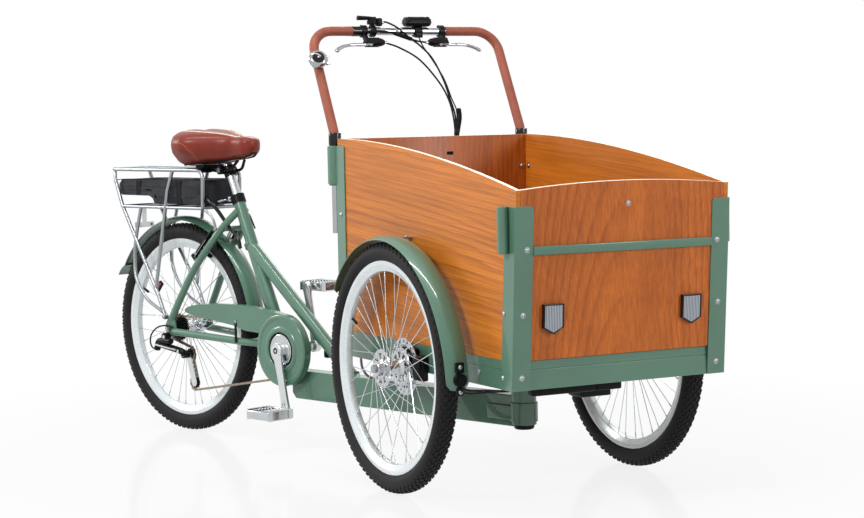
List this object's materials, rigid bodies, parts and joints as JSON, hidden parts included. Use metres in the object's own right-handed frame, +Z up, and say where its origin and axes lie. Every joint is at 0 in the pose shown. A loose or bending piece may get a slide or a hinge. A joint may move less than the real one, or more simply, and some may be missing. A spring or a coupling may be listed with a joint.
{
  "type": "front-box cargo tricycle",
  "caption": "Pedal cargo tricycle with a wooden box between the front wheels, arched handlebar, step-through rear frame, rack and pedal drive.",
  "frame": {"origin": "on the ground at the middle of the standing tricycle's footprint box, with its front turned right", "axes": "+X forward along the cargo box, +Y to the rider's left, +Z up"},
  "size_m": [2.0534, 0.9286, 1.1819],
  "materials": {
    "sage_paint": "gloss paint",
    "cherry_plywood": "varnished, horizontal grain",
    "chrome": "polished",
    "silver_alloy": "satin",
    "white_rim": "pale silver",
    "tyre_rubber": "matte, knobbed",
    "black_plastic": "matte",
    "black_metal": "satin black",
    "black_rubber": "matte",
    "black_fabric": "woven cover",
    "tan_leather": "wrapped",
    "brown_leather": "glossy",
    "chain_steel": "oiled",
    "reflector_lens": "ribbed silver lens"
  },
  "bodies": {
    "rear_frame_body": {"rear_frame": "sage_paint", "rear_fender": "sage_paint", "rack": "silver_alloy", "battery_pack": "black_fabric", "chain_guard": "sage_paint", "chain": "chain_steel", "rear_derailleur": "black_metal"},
    "steering_body": {"bottom_frame": "sage_paint", "floor_panel": "cherry_plywood", "front_panel": "cherry_plywood", "rear_panel": "cherry_plywood", "left_panel": "cherry_plywood", "right_panel": "cherry_plywood", "front_bar": "sage_paint", "front_post_left": "sage_paint", "front_post_right": "sage_paint", "rear_post_left": "sage_paint", "rear_post_right": "sage_paint", "reflector_left": "reflector_lens", "reflector_right": "reflector_lens", "handlebar": "chrome", "grip_wrap_left": "tan_leather", "grip_wrap_right": "tan_leather", "brake_lever_mount_left": "black_metal", "brake_lever_mount_right": "black_metal", "display_unit": "black_plastic", "shifter_body": "black_plastic", "bell": "chrome", "cable_harness": "black_rubber", "axle_carrier": "black_metal", "brake_caliper_left": "black_metal", "brake_caliper_right": "black_metal", "front_fender_left": "sage_paint", "front_fender_right": "sage_paint"},
    "front_right_wheel": {"front_right_tyre": "tyre_rubber", "front_right_rim": "white_rim", "front_right_hub_and_spokes": "silver_alloy"},
    "front_left_wheel": {"front_left_tyre": "tyre_rubber", "front_left_rim": "white_rim", "front_left_hub_and_spokes": "silver_alloy"},
    "rear_wheel": {"rear_tyre": "tyre_rubber", "rear_rim": "white_rim", "rear_hub_and_spokes": "silver_alloy"},
    "crank_body": {"crankset": "silver_alloy", "left_crank": "silver_alloy"},
    "pedal_right_body": {"pedal_right": "silver_alloy"},
    "pedal_left_body": {"pedal_left": "silver_alloy"},
    "cassette_body": {"cassette": "black_metal"},
    "upper_jockey_body": {"upper_jockey_wheel": "black_plastic"},
    "lower_jockey_body": {"lower_jockey_wheel": "black_plastic"},
    "brake_lever_right_body": {"brake_lever_right": "silver_alloy"},
    "brake_lever_left_body": {"brake_lever_left": "silver_alloy"},
    "rim_brake_right_body": {"rim_brake_arm_right": "black_metal"},
    "rim_brake_left_body": {"rim_brake_arm_left": "black_metal"},
    "shifter_lever_body": {"shifter_lever": "black_plastic"},
    "bell_lever_body": {"bell_lever": "chrome"},
    "seat_body": {"seatpost": "silver_alloy", "saddle": "brown_leather", "saddle_base": "black_metal"},
    "quick_release_body": {"quick_release_lever": "silver_alloy"}
  },
  "joints": [
    {"name": "steering", "type": "hinge", "parent": "rear_frame_body", "child": "steering_body", "pos_m": [0.55967, 0.06835, 0.2], "axis": [0, 0, 1], "range_deg": [-18, 52]},
    {"name": "front_right_wheel_spin", "type": "hinge", "parent": "steering_body", "child": "front_right_wheel", "pos_m": [0.51667, -0.27565, 0.305], "axis": [0, 1, 0], "continuous": true},
    {"name": "front_left_wheel_spin", "type": "hinge", "parent": "steering_body", "child": "front_left_wheel", "pos_m": [0.51667, 0.41235, 0.305], "axis": [0, 1, 0], "continuous": true},
    {"name": "rear_wheel_spin", "type": "hinge", "parent": "rear_frame_body", "child": "rear_wheel", "pos_m": [-0.71386, -0.32198, 0.305], "axis": [-0.293, 0.9561, 0], "continuous": true},
    {"name": "crank_spin", "type": "hinge", "parent": "rear_frame_body", "child": "crank_body", "pos_m": [-0.25397, -0.18103, 0.2725], "axis": [-0.293, 0.9561, 0], "continuous": true},
    {"name": "pedal_right_spin", "type": "hinge", "parent": "crank_body", "child": "pedal_right_body", "pos_m": [-0.2014, -0.24022, 0.10776], "axis": [-0.293, 0.9561, 0], "continuous": true},
    {"name": "pedal_left_spin", "type": "hinge", "parent": "crank_body", "child": "pedal_left_body", "pos_m": [-0.30655, -0.12184, 0.43724], "axis": [-0.293, 0.9561, 0], "continuous": true},
    {"name": "cassette_spin", "type": "hinge", "parent": "rear_frame_body", "child": "cassette_body", "pos_m": [-0.71386, -0.32198, 0.305], "axis": [-0.293, 0.9561, 0], "continuous": true},
    {"name": "upper_jockey_spin", "type": "hinge", "parent": "rear_frame_body", "child": "upper_jockey_body", "pos_m": [-0.63889, -0.34816, 0.232], "axis": [-0.293, 0.9561, 0], "continuous": true},
    {"name": "lower_jockey_spin", "type": "hinge", "parent": "rear_frame_body", "child": "lower_jockey_body", "pos_m": [-0.61499, -0.34084, 0.15], "axis": [-0.293, 0.9561, 0], "continuous": true},
    {"name": "brake_lever_right_pull", "type": "hinge", "parent": "steering_body", "child": "brake_lever_right_body", "pos_m": [-0.02468, -0.04365, 1.1088], "axis": [-0.7828, 0, -0.6222], "range_deg": [0, 20], "stiffness_Nm_per_rad": 0.8, "springref_deg": -17.19},
    {"name": "brake_lever_left_pull", "type": "hinge", "parent": "steering_body", "child": "brake_lever_left_body", "pos_m": [-0.02468, 0.16935, 1.1088], "axis": [-0.7828, 0, -0.6222], "range_deg": [-20, 0], "stiffness_Nm_per_rad": 0.8, "springref_deg": 17.19},
    {"name": "rim_brake_right_close", "type": "hinge", "parent": "rear_frame_body", "child": "rim_brake_right_body", "pos_m": [-0.59095, -0.3434, 0.51722], "axis": [0.7056, 0.2163, -0.6747], "range_deg": [-3.6, 0]},
    {"name": "rim_brake_left_close", "type": "hinge", "parent": "rear_frame_body", "child": "rim_brake_left_body", "pos_m": [-0.62407, -0.23537, 0.51722], "axis": [0.7056, 0.2163, -0.6747], "range_deg": [0, 3.6]},
    {"name": "shifter_lever_turn", "type": "hinge", "parent": "steering_body", "child": "shifter_lever_body", "pos_m": [-0.04948, -0.02765, 1.1693], "axis": [0, 0, 1], "range_deg": [-15, 75]},
    {"name": "bell_lever_push", "type": "hinge", "parent": "steering_body", "child": "bell_lever_body", "pos_m": [0.02014, -0.19184, 1.05368], "axis": [0.8534, -0.2874, 0.4348], "range_deg": [-28, 0], "stiffness_Nm_per_rad": 0.004, "springref_deg": 28.65},
    {"name": "seat_height", "type": "slide", "parent": "rear_frame_body", "child": "seat_body", "axis": [-0.3915, -0.12, 0.9123], "range_m": [0, 0.08]},
    {"name": "quick_release_turn", "type": "hinge", "parent": "rear_frame_body", "child": "quick_release_body", "pos_m": [-0.51357, -0.26478, 0.683], "axis": [-0.293, 0.9561, 0], "range_deg": [-40, 0]}
  ],
  "couplings": [
    {"joint": "cassette_spin", "follows": "crank_spin", "ratio": 2.2319},
    {"joint": "upper_jockey_spin", "follows": "crank_spin", "ratio": -3.6667},
    {"joint": "lower_jockey_spin", "follows": "crank_spin", "ratio": 3.6667},
    {"joint": "rim_brake_right_close", "follows": "brake_lever_left_pull", "ratio": 0.17},
    {"joint": "rim_brake_left_close", "follows": "brake_lever_left_pull", "ratio": -0.17}
  ]
}
